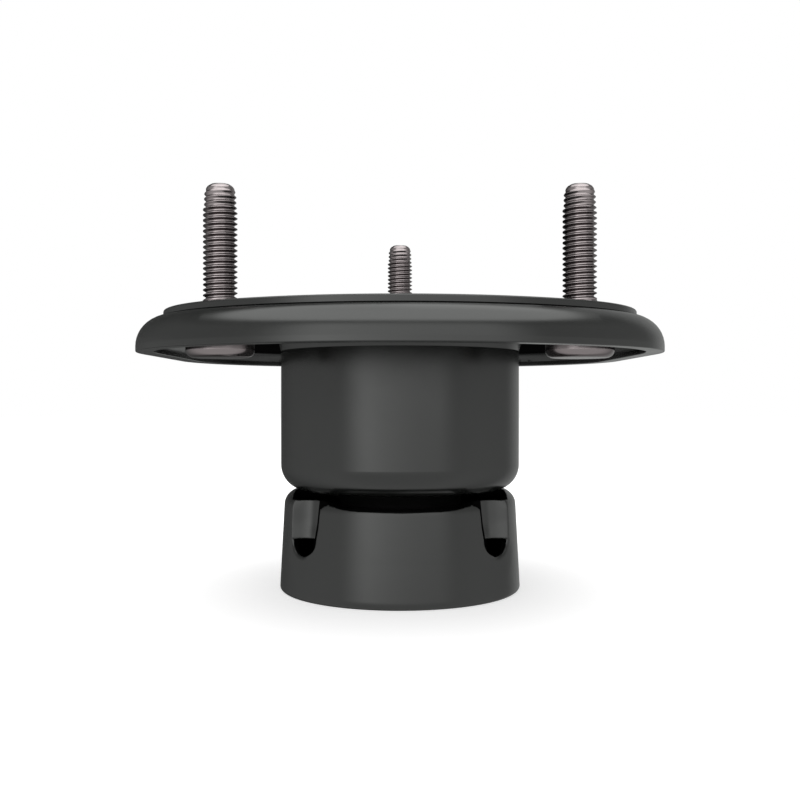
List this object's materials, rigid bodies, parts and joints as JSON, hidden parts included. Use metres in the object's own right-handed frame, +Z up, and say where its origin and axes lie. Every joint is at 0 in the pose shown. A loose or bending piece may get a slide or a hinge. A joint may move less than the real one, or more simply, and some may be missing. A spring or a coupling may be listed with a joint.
{
  "type": "strut mount",
  "caption": "Upper strut mount: flanged plate with threaded studs, a deep isolator housing and a flared bumper cup below, all on the damper rod's axis.",
  "frame": {"origin": "on the damper rod's axis, at the level of the bumper cup's lower edge", "axes": "+Z up along the rod and the studs, -Y to the front between the two front studs, +X to the right seen from the front"},
  "size_m": [0.1536, 0.1812, 0.1209],
  "materials": {
    "coated_steel": "satin black coating",
    "plated_steel": "dull grey-brown phosphate",
    "bare_steel": "turned",
    "moulded_rubber": "matt"
  },
  "bodies": {
    "root": {"mounting_plate": "coated_steel", "top_plate": "coated_steel", "isolator_housing": "coated_steel", "bumper_cup": "coated_steel", "stud_left": "plated_steel", "stud_right": "plated_steel", "stud_rear": "plated_steel", "isolator_sleeve": "bare_steel", "core_tube": "bare_steel", "core_washer": "bare_steel", "rubber_isolator": "moulded_rubber", "bump_stop": "moulded_rubber"}
  },
  "joints": []
}
